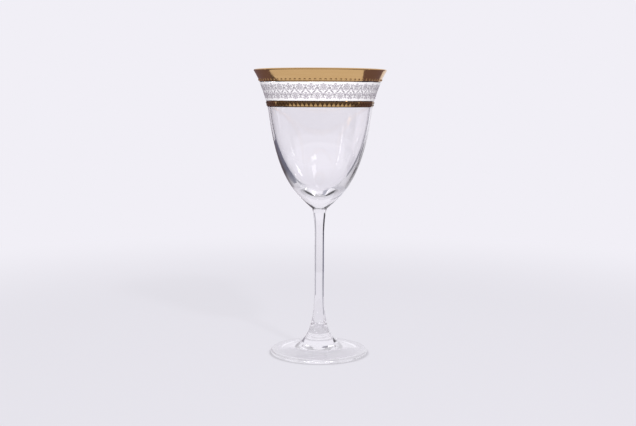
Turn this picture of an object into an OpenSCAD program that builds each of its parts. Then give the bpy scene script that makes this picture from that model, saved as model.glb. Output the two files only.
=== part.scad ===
// Red wine glass with gilded borders and an etched floral frieze under its flared lip.
// The blown bowl, the drawn stem and the spread foot are joined hot, end to end.
// Millimetres, axis upright on Z, standing on z = 0.

/* [Bowl] */
// Diameter over the lip
lip_d = 101.4; // [96:0.2:110]
// Diameter at the shoulder, where the round body passes into the flare
shoulder_d = 77.8; // [72:0.1:84]
// Diameter of the seam with the stem
bowl_seam_d = 12; // [10:0.5:16]
// Height of the flare, from the shoulder to the lip
flare_h = 36.1; // [32:0.1:42]
// Height of the round body, from the seam to the shoulder
body_h = 70.1; // [62:0.1:80]
// Lean of the lip from upright, in degrees
lip_lean = 31.5; // [26:0.5:36]
// Lean of the shoulder from upright, in degrees
shoulder_lean = 8; // [4:0.5:10]
// Rise of the bowl from level where it leaves the seam, in degrees
seam_rise = 40.5; // [36:0.5:48]
// Wall at the lip
lip_wall = 1.4; // [1:0.1:2]
// Wall at the shoulder
shoulder_wall = 1.8; // [1.4:0.1:2.6]
// Thickness of glass from the seam to the inside of the bowl
floor_t = 10.7; // [8:0.1:12]

/* [Stem] */
// Diameter of the stem
stem_d = 7.4; // [6:0.1:9]
// Length of the stem, from seam to seam
stem_l = 105.3; // [80:0.1:130]
// Length of the upper sweep, into the bowl
upper_sweep_l = 18.4; // [12:0.2:24]
// Length of the lower sweep, into the foot
lower_sweep_l = 42; // [32:0.5:48]

/* [Foot] */
// Diameter of the foot
foot_d = 75.6; // [68:0.2:84]
// Height of the foot's crown, where the stem is joined
crown_h = 8.5; // [7:0.1:11]
// Diameter of the seam on the crown
crown_d = 29.8; // [24:0.2:34]
// Rise of the crown from level at its seam, in degrees
crown_rise = 38; // [30:1:46]
// Thickness of the foot at its edge
foot_edge_t = 3.2; // [2.4:0.1:4]
// Fall of the foot's top at its edge, in degrees
foot_fall = 4; // [1:0.5:6]
// Width of the flat ring that the glass stands on
standing_ring_w = 5; // [3:0.5:8]
// Depth of the hollow under the foot, in the middle
foot_hollow_h = 4.8; // [3:0.1:5.4]
// Rise of the hollow from level at the standing ring, in degrees
hollow_rise = 10; // [6:0.5:12]

/* [Bands] */
// Thickness of the fired gold and of the etched ground
film_t = 0.15; // [0.1:0.05:0.3]
// Height of the gold rim band
rim_band_h = 9.6; // [7:0.1:12]
// Depth that the rim gold turns down inside the lip
rim_turn_h = 2; // [1.4:0.1:4]
// Height of the floral frieze
frieze_h = 13.6; // [10:0.1:15]
// Height of the lower gold band
lower_band_h = 4.5; // [3.6:0.1:6]
// Clear glass between two bands
band_gap = 0.3; // [0.2:0.1:0.8]

/* [Borders] */
// Repeats of each border around the glass
border_repeats = 78; // [60:1:90]
// Diameter of a bead on the rim band
bead_d = 1.9; // [1.2:0.1:2.4]
// Height of a bead
bead_rise = 0.45; // [0.2:0.05:0.8]
// Height of the row of beads over the rim band's lower edge
bead_row_h = 1.5; // [1.3:0.1:3]
// Height of a facet of the lattice at its point
lattice_rise = 0.45; // [0.25:0.05:0.6]
// Height of a facet of the lattice at its base
lattice_edge_t = 0.1; // [0.05:0.05:0.2]
// Plain gold above and below the lattice
lattice_margin = 0.6; // [0.3:0.1:1]
// Width of the groove between two facets
lattice_groove = 0.2; // [0.1:0.05:0.5]

/* [Hidden] */
$fn = 96;

clear_glass = [0.86, 0.89, 0.93, 0.45];
fired_gold = [0.80, 0.66, 0.42];
etched_white = [0.95, 0.94, 0.94];

// How far each curve runs on in the direction it starts or ends with, as a share of its chord
body_seam_pull = 0.262;
body_shoulder_pull = 0.57;
flare_shoulder_pull = 0.18;
flare_lip_pull = 0.457;
inside_floor_pull = 0.12;
inside_shoulder_pull = 0.696;
upper_sweep_stem_pull = 0.11;
upper_sweep_seam_pull = 0.1;
lower_sweep_crown_pull = 0.1;
lower_sweep_stem_pull = 0.78;
foot_crown_pull = 0.19;
foot_edge_pull = 0.52;
hollow_ring_pull = 0.45;
hollow_middle_pull = 0.5;

// Steps along a curve
long_steps = 24;
short_steps = 8;
turn_steps = 10;

// Heights, added up from the table
bowl_seam_z = crown_h + stem_l;
shoulder_z = bowl_seam_z + body_h;
glass_h = shoulder_z + flare_h;
rim_band_z = glass_h - rim_band_h;
frieze_top_z = rim_band_z - band_gap;
frieze_z = frieze_top_z - frieze_h;
lower_band_top_z = frieze_z - band_gap;
lower_band_z = lower_band_top_z - lower_band_h;

// Directions in the plane of the profile, as [outwards, upwards]
function lean(angle) = [sin(angle), cos(angle)];
function rise(angle) = [cos(angle), sin(angle)];

function mix(a, b, share) = a + (b - a) * share;
function unit(v) = v / norm(v);
function backwards(list) = [for (i = [len(list) - 1 : -1 : 0]) list[i]];
function shares(from, to, steps) = [for (i = [0 : steps]) mix(from, to, i / steps)];
function without_first(list) = [for (i = [1 : len(list) - 1]) list[i]];

// Cubic curve from a to b that leaves a along leave and reaches b along arrive
function curve(a, leave, leave_pull, b, arrive, arrive_pull) = let (chord = norm(b - a))
    [a, a + leave * leave_pull * chord, b - arrive * arrive_pull * chord, b];
function at(c, t) =
    pow(1 - t, 3) * c[0] + 3 * pow(1 - t, 2) * t * c[1] + 3 * (1 - t) * t * t * c[2] + pow(t, 3) * c[3];
function heading(c, t) = unit(
    pow(1 - t, 2) * (c[1] - c[0]) + 2 * (1 - t) * t * (c[2] - c[1]) + t * t * (c[3] - c[2]));
function outward(c, t) = let (h = heading(c, t)) [h[1], -h[0]];
function along(c, ts) = [for (t = ts) at(c, t)];
function arc(middle, radius, ts) = [for (a = ts) middle + radius * [cos(a), sin(a)]];

// Share of a rising curve at which it passes a height, found by halving
function share_at_height(c, z, low = 0, high = 1, halvings = 40) =
    let (middle = (low + high) / 2)
    halvings == 0 ? middle
    : at(c, middle)[1] < z ? share_at_height(c, z, middle, high, halvings - 1)
    : share_at_height(c, z, low, middle, halvings - 1);

// Bowl: the lip is a half round as thick as the wall, and the gold over it makes up lip_d and glass_h
lip_r = lip_wall / 2;
lip_middle = [lip_d / 2 - film_t - lip_r, glass_h - film_t - lip_r];
lip_angles = shares(-lip_lean, 180 - lip_lean, turn_steps);
lip_outside = lip_middle + lip_r * rise(-lip_lean);

bowl_seam = [bowl_seam_d / 2, bowl_seam_z];
shoulder = [shoulder_d / 2, shoulder_z];
body_curve = curve(bowl_seam, rise(seam_rise), body_seam_pull,
    shoulder, lean(shoulder_lean), body_shoulder_pull);
flare_curve = curve(shoulder, lean(shoulder_lean), flare_shoulder_pull,
    lip_outside, lean(lip_lean), flare_lip_pull);

inside_floor = [0, bowl_seam_z + floor_t];
inside_shoulder = shoulder - shoulder_wall * rise(-shoulder_lean);
inside_curve = curve(inside_floor, rise(0), inside_floor_pull,
    inside_shoulder, lean(shoulder_lean), inside_shoulder_pull);

// The flare is cut at the edges of the bands, so that each film lies on the glass face to face
lower_band_cut = shares(share_at_height(flare_curve, lower_band_z),
    share_at_height(flare_curve, lower_band_top_z), short_steps);
frieze_cut = shares(share_at_height(flare_curve, frieze_z),
    share_at_height(flare_curve, frieze_top_z), short_steps);
rim_cut = shares(share_at_height(flare_curve, rim_band_z), 1, short_steps);
plain_cut = shares(0, lower_band_cut[0], short_steps);
flare_cut = concat(plain_cut, without_first(lower_band_cut), frieze_cut, rim_cut);

rim_turn_share = share_at_height(flare_curve, glass_h - rim_turn_h);
rim_turn_cut = shares(1, rim_turn_share, short_steps);
inside_cut = concat(rim_turn_cut, without_first(shares(rim_turn_share, 0, long_steps)));

function flare_wall(t) = mix(shoulder_wall, lip_wall, t);
function flare_outside(ts, lift = 0) = [for (t = ts) at(flare_curve, t) + lift * outward(flare_curve, t)];
function flare_inside(ts, lift = 0) =
    [for (t = ts) at(flare_curve, t) - (flare_wall(t) + lift) * outward(flare_curve, t)];

// Points over the lip, from the outside of the flare to the inside, lifted off the glass
function over_lip(outside_cut, turned_cut, lift) = concat(
    flare_outside(outside_cut, lift),
    without_first(arc(lip_middle, lip_r + lift, lip_angles)),
    without_first(flare_inside(turned_cut, lift)));

module bowl() {
    outside = concat(along(body_curve, shares(0, 1, long_steps)), without_first(flare_outside(flare_cut)));
    lip = without_first(arc(lip_middle, lip_r, lip_angles));
    inside = concat(without_first(flare_inside(inside_cut)),
        without_first(along(inside_curve, shares(1, 0, long_steps))));
    color(clear_glass)
        rotate_extrude()
            polygon(concat(outside, lip, inside, [[0, bowl_seam_z]]));
}

// Stem: a slim rod with a sweep at each end
crown = [crown_d / 2, crown_h];
stem_r = stem_d / 2;
lower_sweep = curve(crown, rise(180 - crown_rise), lower_sweep_crown_pull,
    [stem_r, crown_h + lower_sweep_l], lean(0), lower_sweep_stem_pull);
upper_sweep = curve([stem_r, bowl_seam_z - upper_sweep_l], lean(0), upper_sweep_stem_pull,
    bowl_seam, rise(seam_rise), upper_sweep_seam_pull);

module stem() {
    color(clear_glass)
        rotate_extrude()
            polygon(concat(
                [[0, crown_h]],
                along(lower_sweep, shares(0, 1, long_steps)),
                along(upper_sweep, shares(0, 1, long_steps)),
                [[0, bowl_seam_z]]));
}

// Foot: a disc that falls away from its crown, with a rounded edge and a hollow that follows it beneath
foot_edge_r = foot_edge_t / 2;
foot_edge_middle = [foot_d / 2 - foot_edge_r, foot_edge_r];
foot_edge_top = foot_edge_middle + foot_edge_r * lean(foot_fall);
standing_ring = [foot_edge_middle[0] - standing_ring_w, 0];
foot_top = curve(crown, rise(-crown_rise), foot_crown_pull,
    foot_edge_top, rise(-foot_fall), foot_edge_pull);
foot_hollow = curve(standing_ring, rise(180 - hollow_rise), hollow_ring_pull,
    [0, foot_hollow_h], rise(180), hollow_middle_pull);

module foot() {
    color(clear_glass)
        rotate_extrude()
            polygon(concat(
                [[0, crown_h]],
                along(foot_top, shares(0, 1, long_steps)),
                without_first(arc(foot_edge_middle, foot_edge_r, shares(90 - foot_fall, -90, turn_steps))),
                along(foot_hollow, shares(0, 1, long_steps))));
}

// A film between two paths, one on the glass and one lifted off it
module film(on_glass, lifted) {
    rotate_extrude()
        polygon(concat(on_glass, backwards(lifted)));
}

module rim_gold_band() {
    color(fired_gold)
        film(over_lip(rim_cut, rim_turn_cut, 0), over_lip(rim_cut, rim_turn_cut, film_t));
}

module floral_frieze() {
    color(etched_white)
        film(flare_outside(frieze_cut), flare_outside(frieze_cut, film_t));
}

module lower_gold_band() {
    color(fired_gold)
        film(flare_outside(lower_band_cut), flare_outside(lower_band_cut, film_t));
}

// Point on the face of a film at a height, and the direction that it faces, as [outwards, upwards]
function wall_point(z) = let (t = share_at_height(flare_curve, z))
    at(flare_curve, t) + film_t * outward(flare_curve, t);
function wall_facing(z) = outward(flare_curve, share_at_height(flare_curve, z));

// Sets its children on the face of a film, at a height and an angle round the glass.
// A child's X then runs round the glass, its Y runs up the wall and its Z stands off it.
module on_wall(z, angle) {
    seat = wall_point(z);
    facing = wall_facing(z);
    rotate(angle)
        translate([seat[0], 0, seat[1]])
            rotate([0, atan2(facing[0], facing[1]), 0])
                rotate(90)
                    children();
}

// Sets its children on the wall once for each repeat of a border
module border(z, turned = 0) {
    for (i = [0 : border_repeats - 1])
        on_wall(z, (i + turned) * 360 / border_repeats)
            children();
}

module bead() {
    ball_r = (pow(bead_d / 2, 2) + pow(bead_rise, 2)) / (2 * bead_rise);
    intersection() {
        translate([0, 0, bead_rise - ball_r])
            sphere(ball_r);
        cylinder(d = bead_d + bead_rise, h = 2 * bead_rise);
    }
}

module rim_gold_beading() {
    color(fired_gold)
        border(rim_band_z + bead_row_h)
            bead();
}

// Lattice: two rows of triangular facets, point up and point down, that fit into each other.
// Each slopes from its point to its base, so the two rows catch the light from opposite sides.
lattice_z = lower_band_z + lower_band_h / 2;
lattice_pitch = 2 * PI * wall_point(lattice_z)[0] / border_repeats;
lattice_reach = lower_band_h / 2 - lattice_margin;
lattice_half_base = lattice_pitch / 2 - lattice_groove;

module facet() {
    corners = [
        [-lattice_half_base, -lattice_reach],
        [lattice_half_base, -lattice_reach],
        [0, lattice_reach - lattice_groove]];
    heights = [lattice_edge_t, lattice_edge_t, lattice_rise];
    polyhedron(
        points = concat(
            [for (c = corners) [c[0], c[1], 0]],
            [for (i = [0 : 2]) [corners[i][0], corners[i][1], heights[i]]]),
        faces = [[0, 1, 2], [3, 5, 4], [0, 3, 4, 1], [1, 4, 5, 2], [2, 5, 3, 0]]);
}

module lower_gold_lattice() {
    color(fired_gold) {
        border(lattice_z)
            facet();
        border(lattice_z, turned = 1 / 2)
            rotate(180)
                facet();
    }
}

bowl();
stem();
foot();
rim_gold_band();
rim_gold_beading();
floral_frieze();
lower_gold_band();
lower_gold_lattice();
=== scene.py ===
# %% [markdown]
# A gilded red wine glass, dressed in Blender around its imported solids. Each cell makes one thing: the
# camera and the light first, because glass and gold show little else than what stands around them, and
# then the glass itself, its gold, its etched frieze and the two fine borders.

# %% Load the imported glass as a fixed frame
import math

import bmesh
import bpy
from mathutils import Matrix, Quaternion, Vector


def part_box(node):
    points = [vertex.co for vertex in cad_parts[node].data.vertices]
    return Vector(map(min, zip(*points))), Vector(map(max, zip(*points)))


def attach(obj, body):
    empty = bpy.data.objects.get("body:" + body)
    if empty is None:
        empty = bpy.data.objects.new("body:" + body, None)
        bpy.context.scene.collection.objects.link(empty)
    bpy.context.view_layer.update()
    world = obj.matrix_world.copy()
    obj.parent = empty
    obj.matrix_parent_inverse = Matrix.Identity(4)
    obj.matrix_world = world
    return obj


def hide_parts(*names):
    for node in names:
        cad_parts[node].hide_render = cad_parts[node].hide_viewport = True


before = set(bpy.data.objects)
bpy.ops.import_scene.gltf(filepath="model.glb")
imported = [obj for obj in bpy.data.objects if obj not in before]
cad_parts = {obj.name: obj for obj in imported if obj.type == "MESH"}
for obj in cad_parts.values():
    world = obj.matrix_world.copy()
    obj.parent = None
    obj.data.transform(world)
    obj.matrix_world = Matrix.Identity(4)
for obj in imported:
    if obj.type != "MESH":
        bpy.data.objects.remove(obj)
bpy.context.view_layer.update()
MM = 0.001
print("solids:", sorted(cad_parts))

# %% [markdown]
# Blender counts in metres and a glassmaker in millimetres. The solids give the heights and widths that the
# new pieces have to keep: where the seams lie, how wide the lip and the foot are, how tall the glass stands.

# %% Read the sizes of the glass from its solids
def corners_mm(node):
    """Lowest and highest corner of a solid, in millimetres."""
    low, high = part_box(node)
    return low / MM, high / MM


lip_top = corners_mm("rim_gold_band")[1]
glass_h = lip_top.z
lip_over_gold_r = lip_top.x
bowl_seam_z = corners_mm("bowl")[0].z
crown_h = corners_mm("foot")[1].z
crown_r = corners_mm("stem")[1].x
foot_r = corners_mm("foot")[1].x
print(f"glass {glass_h:.1f} mm tall, lip {2 * lip_over_gold_r:.1f} mm and foot {2 * foot_r:.1f} mm across")

# %% [markdown]
# The picture was taken with a standard lens from a little below the lip, looking slightly down. The lens is
# given as a focal length in pixels of the 636 pixel wide picture, which a 36 mm sensor turns to millimetres.
# The camera leans by about a quarter of a degree, as a hand-levelled tripod does.

# %% Set the camera
PICTURE_W = 636
FOCAL_PX = 1006
SENSOR_W = 36.0
CAMERA_BACK = 773.6
CAMERA_UP = 198.4
CAMERA_LEFT = 1.2
CAMERA_TILT = 6.52
CAMERA_ROLL = 0.28
NEAREST_SEEN = 10.0

scene = bpy.context.scene
scene.view_settings.view_transform = "Standard"
lens = bpy.data.cameras.new("standard_lens")
lens.sensor_fit = "HORIZONTAL"
lens.sensor_width = SENSOR_W
lens.lens = FOCAL_PX * SENSOR_W / PICTURE_W
lens.clip_start = NEAREST_SEEN * MM
camera = bpy.data.objects.new("camera", lens)
scene.collection.objects.link(camera)
camera.matrix_world = (
    Matrix.Translation(Vector((-CAMERA_LEFT, -CAMERA_BACK, CAMERA_UP)) * MM)
    @ Matrix.Rotation(math.radians(90 - CAMERA_TILT), 4, "X")
    @ Matrix.Rotation(math.radians(CAMERA_ROLL), 4, "Z")
)
scene.camera = camera
print(f"lens {lens.lens:.1f} mm")

# %% [markdown]
# Three small helpers serve every material and every node tree: one turns a colour as it is seen on a screen
# into the linear light that the renderer counts in, one adds a node with its settings and its links, and one
# starts an empty material.

# %% Helpers for colours and nodes
def linear(hex_colour):
    """A colour written as #rrggbb, in linear light with full alpha."""
    parts = [int(hex_colour[i : i + 2], 16) / 255 for i in (1, 3, 5)]
    light = [p / 12.92 if p <= 0.04045 else ((p + 0.055) / 1.055) ** 2.4 for p in parts]
    return (*light, 1.0)


def add_node(tree, kind, inputs=None, **settings):
    """Adds a node, sets its properties, and sets or links its inputs by name or number."""
    node = tree.nodes.new(kind)
    for name, value in settings.items():
        setattr(node, name, value)
    for key, value in (inputs or {}).items():
        if isinstance(value, bpy.types.NodeSocket):
            tree.links.new(value, node.inputs[key])
        else:
            node.inputs[key].default_value = value
    return node


def new_material(name):
    """An empty material with its output node."""
    material = bpy.data.materials.new(name)
    material.use_nodes = True
    material.node_tree.nodes.clear()
    return material, material.node_tree, add_node(material.node_tree, "ShaderNodeOutputMaterial")


print("middle grey is", round(linear("#808080")[0], 3), "in linear light")

# %% [markdown]
# The backdrop is as pale as a lit sheet of paper. The world gives that tone to the camera and to what glass
# and gold mirror, and a duller tone to matt surfaces, so that the room doesn't wash out the frieze.

# %% Backdrop and light of the room
BACKDROP = "#f1eff6"
ROOM = "#aeaeb2"

world = bpy.data.worlds.new("pale_studio")
scene.world = world
world.use_nodes = True
world.node_tree.nodes.clear()
tree = world.node_tree
path = add_node(tree, "ShaderNodeLightPath")
seen = add_node(tree, "ShaderNodeBackground", {"Color": linear(BACKDROP), "Strength": 1.0})
room = add_node(tree, "ShaderNodeBackground", {"Color": linear(ROOM), "Strength": 1.0})
mixed = add_node(tree, "ShaderNodeMixShader", {
    0: path.outputs["Is Diffuse Ray"], 1: seen.outputs[0], 2: room.outputs[0]})
add_node(tree, "ShaderNodeOutputWorld", {"Surface": mixed.outputs[0]})
print("backdrop", BACKDROP, "and room", ROOM)

# %% [markdown]
# The floor is matt paper that fades into the equally pale backdrop. Most of its brightness is its own glow,
# so that it stays even and the shadow on it stays faint, as on a lit shooting table. Further out it is all
# glow, in the backdrop's colour, and no edge shows between the two. Under the foot the glow is darkened as
# painted shade, and a fine darker line of painted contact shadow follows the foot's edge, where glass
# touches paper.

# %% Material: matt background paper
NEAR_FLOOR_R = 250.0
FAR_FLOOR_R = 700.0
NEAR_GLOW = 0.815
NEAR_PAPER = "#58575c"
FAR_PAPER = "#000000"
UNDER_FOOT_SHADE = 0.82
SHADE_INSIDE = 6.0
SHADE_OUTSIDE = 4.0
CONTACT_SHADE = 0.75
CONTACT_W = 2.0

paper, tree, out = new_material("matt_background_paper")
place = add_node(tree, "ShaderNodeTexCoord")
reach = add_node(tree, "ShaderNodeVectorMath", {0: place.outputs["Object"]}, operation="LENGTH")
fade = add_node(tree, "ShaderNodeMapRange", {
    "Value": reach.outputs["Value"], "From Min": NEAR_FLOOR_R * MM, "From Max": FAR_FLOOR_R * MM,
    "To Min": 0.0, "To Max": 1.0}, interpolation_type="SMOOTHSTEP")
strength = add_node(tree, "ShaderNodeMapRange", {
    "Value": fade.outputs[0], "To Min": NEAR_GLOW, "To Max": 1.0})
# Painted shade: the floor's glow is darkened under the foot.
painted_shade_under_foot = add_node(tree, "ShaderNodeMapRange", {
    "Value": reach.outputs["Value"], "From Min": (foot_r - SHADE_INSIDE) * MM,
    "From Max": (foot_r + SHADE_OUTSIDE) * MM, "To Min": UNDER_FOOT_SHADE, "To Max": 1.0},
    interpolation_type="SMOOTHSTEP")
shaded = add_node(tree, "ShaderNodeMath", {
    0: strength.outputs[0], 1: painted_shade_under_foot.outputs[0]}, operation="MULTIPLY")
# Painted contact shadow: a fine darker line on the paper along the foot's edge.
from_edge = add_node(tree, "ShaderNodeMath", {
    0: reach.outputs["Value"], 1: foot_r * MM}, operation="SUBTRACT")
off_edge = add_node(tree, "ShaderNodeMath", {0: from_edge.outputs[0]}, operation="ABSOLUTE")
painted_contact_shadow = add_node(tree, "ShaderNodeMapRange", {
    "Value": off_edge.outputs[0], "From Max": CONTACT_W * MM, "To Min": CONTACT_SHADE, "To Max": 1.0})
with_painted_contact_shadow = add_node(tree, "ShaderNodeMath", {
    0: shaded.outputs[0], 1: painted_contact_shadow.outputs[0]}, operation="MULTIPLY")
tone = add_node(tree, "ShaderNodeMix", {
    "Factor": fade.outputs[0], "A": linear(NEAR_PAPER), "B": linear(FAR_PAPER)}, data_type="RGBA")
glow = add_node(tree, "ShaderNodeEmission", {"Color": linear(BACKDROP), "Strength": with_painted_contact_shadow.outputs[0]})
sheet = add_node(tree, "ShaderNodeBsdfDiffuse", {"Color": tone.outputs["Result"]})
both = add_node(tree, "ShaderNodeAddShader", {0: glow.outputs[0], 1: sheet.outputs[0]})
tree.links.new(both.outputs[0], out.inputs[0])
print(f"paper glows at {NEAR_GLOW} near the glass and at 1 beyond {FAR_FLOOR_R:.0f} mm")

# %% [markdown]
# One wide disc carries the paper. It lies a hair below the foot, because two surfaces in one place would
# flicker through each other.

# %% Floor
FLOOR_R = 3000.0
FLOOR_DROP = 0.05
FLOOR_CORNERS = 96

floor_mesh = bpy.data.meshes.new("floor")
build = bmesh.new()
bmesh.ops.create_circle(build, cap_ends=True, radius=FLOOR_R * MM, segments=FLOOR_CORNERS)
bmesh.ops.translate(build, verts=build.verts, vec=(0, 0, -FLOOR_DROP * MM))
build.to_mesh(floor_mesh)
build.free()
floor = bpy.data.objects.new("floor", floor_mesh)
scene.collection.objects.link(floor)
floor_mesh.materials.append(paper)
print(f"floor {2 * FLOOR_R:.0f} mm across")

# %% [markdown]
# Polished gold is a mirror: it looks like gold only where something darker stands beside the bright table.
# A photographer sets dark cards left and right for that, and the same cards draw the dark edges in the clear
# glass. Here they are sheets that only mirrored or bent rays can see, so they light nothing, cast no shadow
# and stay out of the picture. The renderer counts how often a ray was mirrored and how often it was bent:
# one wall or the solid stem bends it twice, and the hollow of the bowl four times. A card shows by these
# counts, so that it isn't seen straight through the bowl from any side.

# %% Tones that only some rays see
ONE_MIRRORING = 0.5
TWO_BENDS = 2.5
NO_LIMIT = 100


def flat_tone(name, colour, rule="MAXIMUM", most_bends=TWO_BENDS):
    """A material of one even tone for some rays, clear for the others.

    A ray may have been mirrored, and it may have been bent no more than a number of times. The rule is
    MAXIMUM where one of the two is enough and MINIMUM where both are asked for."""
    material, tree, out = new_material(name)
    path = add_node(tree, "ShaderNodeLightPath")
    mirrored = add_node(tree, "ShaderNodeMath", {
        0: path.outputs["Glossy Depth"], 1: ONE_MIRRORING}, operation="GREATER_THAN")
    few_bends = add_node(tree, "ShaderNodeMath", {
        0: path.outputs["Transmission Depth"], 1: most_bends}, operation="LESS_THAN")
    shown = add_node(tree, "ShaderNodeMath", {
        0: mirrored.outputs[0], 1: few_bends.outputs[0]}, operation=rule)
    passing = add_node(tree, "ShaderNodeBsdfTransparent")
    flat = add_node(tree, "ShaderNodeEmission", {"Color": linear(colour), "Strength": 1.0})
    mixed = add_node(tree, "ShaderNodeMixShader", {
        0: shown.outputs[0], 1: passing.outputs[0], 2: flat.outputs[0]})
    tree.links.new(mixed.outputs[0], out.inputs[0])
    print(name, colour)
    return material


def grade(material, stops):
    """Lets a tone change along a card: with its distance from the glass, and then with its height.

    A stop is a way along the card in millimetres, which is the distance and the height together, and the
    tone that is reached there."""
    tree = material.node_tree
    place = add_node(tree, "ShaderNodeNewGeometry")
    level = add_node(tree, "ShaderNodeVectorMath", {
        0: place.outputs["Position"], 1: (1, 1, 0)}, operation="MULTIPLY")
    distance = add_node(tree, "ShaderNodeVectorMath", {0: level.outputs[0]}, operation="LENGTH")
    height = add_node(tree, "ShaderNodeSeparateXYZ", {0: place.outputs["Position"]})
    way_along = add_node(tree, "ShaderNodeMath", {
        0: distance.outputs["Value"], 1: height.outputs["Z"]}, operation="ADD")
    tones = add_node(tree, "ShaderNodeValToRGB", {0: way_along.outputs[0]})
    marks = tones.color_ramp.elements
    while len(marks) < len(stops):
        marks.new(1.0)
    for mark, (way, colour) in zip(marks, stops):
        mark.position = way * MM
        mark.color = linear(colour)
    emission = next(node for node in tree.nodes if node.type == "EMISSION")
    tree.links.new(tones.outputs[0], emission.inputs["Color"])
    print(material.name, "graded over", stops[0][0], "to", stops[-1][0], "mm")


# %% [markdown]
# Each card is a sheet bent round the glass, so that it keeps its distance all the way along. It is drawn as
# a section of points, each with a distance and a height, and swept between two angles. Angles run round the
# glass from the camera, to the right.

# %% Sheets round the glass
CARD_STEP = 4.0


def round_glass(angle, distance, z):
    """A place at an angle round the glass from the camera, counted to the right, in millimetres."""
    a = math.radians(angle)
    return Vector((distance * math.sin(a), -distance * math.cos(a), z))


def card(name, material, angles, section, seen_by, low_angles=None):
    """A sheet swept round the glass between two angles, from a section of (distance, height) points.

    The first point of the section may have angles of its own."""
    steps = max(1, round((angles[1] - angles[0]) / CARD_STEP))
    limits = [low_angles or angles] + [angles] * (len(section) - 1)
    build = bmesh.new()
    columns = []
    for i in range(steps + 1):
        column = []
        for (first, last), (distance, z) in zip(limits, section):
            angle = first + (last - first) * i / steps
            column.append(build.verts.new(round_glass(angle, distance, z) * MM))
        columns.append(column)
    for left, right in zip(columns, columns[1:]):
        for k in range(len(section) - 1):
            build.faces.new((left[k], right[k], right[k + 1], left[k + 1]))
    mesh = bpy.data.meshes.new(name)
    build.to_mesh(mesh)
    build.free()
    mesh.materials.append(material)
    sheet = bpy.data.objects.new(name, mesh)
    scene.collection.objects.link(sheet)
    sheet.visible_camera = False
    sheet.visible_diffuse = False
    sheet.visible_shadow = False
    sheet.visible_glossy = "glossy" in seen_by
    sheet.visible_transmission = "transmission" in seen_by
    print(name, "from", angles[0], "to", angles[1], "degrees")


print("in front of the glass:", [round(c) for c in round_glass(0, 100, 0)], "mm")

# %% [markdown]
# The gold sees two grey cards, one to each side, and a dark curtain in the room behind the camera. The table
# close in front of the glass stays free of them and bright, and that gives the gold its light middle and its
# brown sides.

# %% Cards for the gold
CARD_R = 650
CARD_NEAR_R = 95
CARD_TOP = 330
CARD_LIFT = 1
LEFT_OF_GOLD = (-164, -107)
RIGHT_OF_GOLD = (90, 144)
CURTAIN_NEAR_R = 360
CURTAIN_R = 2900
CURTAIN_TOP = 900

gold_card = flat_tone("grey_card", "#746370")
curtain = flat_tone("dark_curtain", "#6a6268", "MINIMUM", NO_LIMIT)
beside = [(CARD_NEAR_R, CARD_LIFT), (CARD_R, CARD_LIFT), (CARD_R, CARD_TOP)]
card("card_left", gold_card, LEFT_OF_GOLD, beside, ("glossy",))
card("card_right", gold_card, RIGHT_OF_GOLD, beside, ("glossy",))
room_side = [(CURTAIN_NEAR_R, CARD_LIFT), (CURTAIN_R, CARD_LIFT), (CURTAIN_R, CURTAIN_TOP)]
behind_camera = (LEFT_OF_GOLD[1], RIGHT_OF_GOLD[0])
card("curtain_behind_camera", curtain, behind_camera, room_side, ("glossy", "transmission"))

# %% [markdown]
# Clear glass is drawn by its edges, where it bends the view far to the side. Most cards for it lie on the
# floor, and two stand at their far end. On the left the tone runs from pale near the glass over slate to
# felt, so that the line in the stem darkens upwards. Those further forward, and the strip far on the right,
# show to mirrored rays alone: seen straight through the stem from other sides, they would stand in it as
# grey blocks.

# %% Cards for the clear glass
SLATE = "#6e7080"
PALE = "#9c9ca6"
FELT = "#25252b"
LEFT_SIDE = (-147, -114)
LEFT_FORWARD = (-114, -72)
LEFT_INNER = (-147, -136)
LEFT_STANDING = (-147, -112)
RIGHT_FORWARD = (75, 128)
RIGHT_STRIP = (134, 146)
FAR_RIGHT = (151, 161)
STANDING_TOP = 185
LYING_LIFT = 2
INNER_R = 60
STRIP_R = 165
SLATE_R = 300
RIGHT_NEAR_R = 180
RIGHT_STRIP_R = 185
FAR_STRIP = (420, 700)
LEFT_TONES = ((200, PALE), (360, SLATE), (600, SLATE), (730, FELT))


def lying(near, far):
    """Section of a card that lies on the floor between two distances."""
    return [(near, LYING_LIFT), (far, LYING_LIFT)]


left_card = flat_tone("graded_card", SLATE)
grade(left_card, LEFT_TONES)
pale_card = flat_tone("pale_card", PALE)
far_slate = flat_tone("slate_card_for_mirrored_rays", SLATE, "MINIMUM", NO_LIMIT)
far_pale = flat_tone("pale_card_for_mirrored_rays", PALE, "MINIMUM", NO_LIMIT)
standing = [(CARD_R, CARD_LIFT), (CARD_R, STANDING_TOP)]
for name, material, angles, section in (
    ("card_left_lying", left_card, LEFT_SIDE, lying(SLATE_R, CARD_R)),
    ("card_left_forward", far_slate, LEFT_FORWARD, lying(SLATE_R, CARD_R)),
    ("strip_left_lying", left_card, LEFT_SIDE, lying(STRIP_R, SLATE_R)),
    ("strip_left_forward", far_pale, LEFT_FORWARD, lying(STRIP_R, SLATE_R)),
    ("strip_left_inner", pale_card, LEFT_INNER, lying(INNER_R, STRIP_R)),
    ("card_left_standing", left_card, LEFT_STANDING, standing),
    ("card_right_lying", far_slate, RIGHT_FORWARD, lying(RIGHT_NEAR_R, SLATE_R)),
    ("strip_right_lying", pale_card, RIGHT_STRIP, lying(RIGHT_STRIP_R, CARD_R)),
    ("strip_right_standing", pale_card, RIGHT_STRIP, standing),
    ("strip_far_right", far_pale, FAR_RIGHT, lying(*FAR_STRIP)),
):
    card(name, material, angles, section, ("transmission",))

# %% [markdown]
# One more card stands close to the left of the bowl and draws the dark patch in the wall there. It asks for
# both counts: only a ray that was mirrored and was bent by no more than one wall sees it, and one that has
# crossed the hollow passes.

# %% Card for the left wall of the bowl
NEAR_CARD_R = 80
NEAR_CARD_LOW = 70
NEAR_CARD_CORNER = 98
NEAR_CARD_TOP = 152
NEAR_ANGLES = (-164, -108)
NEAR_LOW_ANGLES = (-144, -108)

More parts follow.
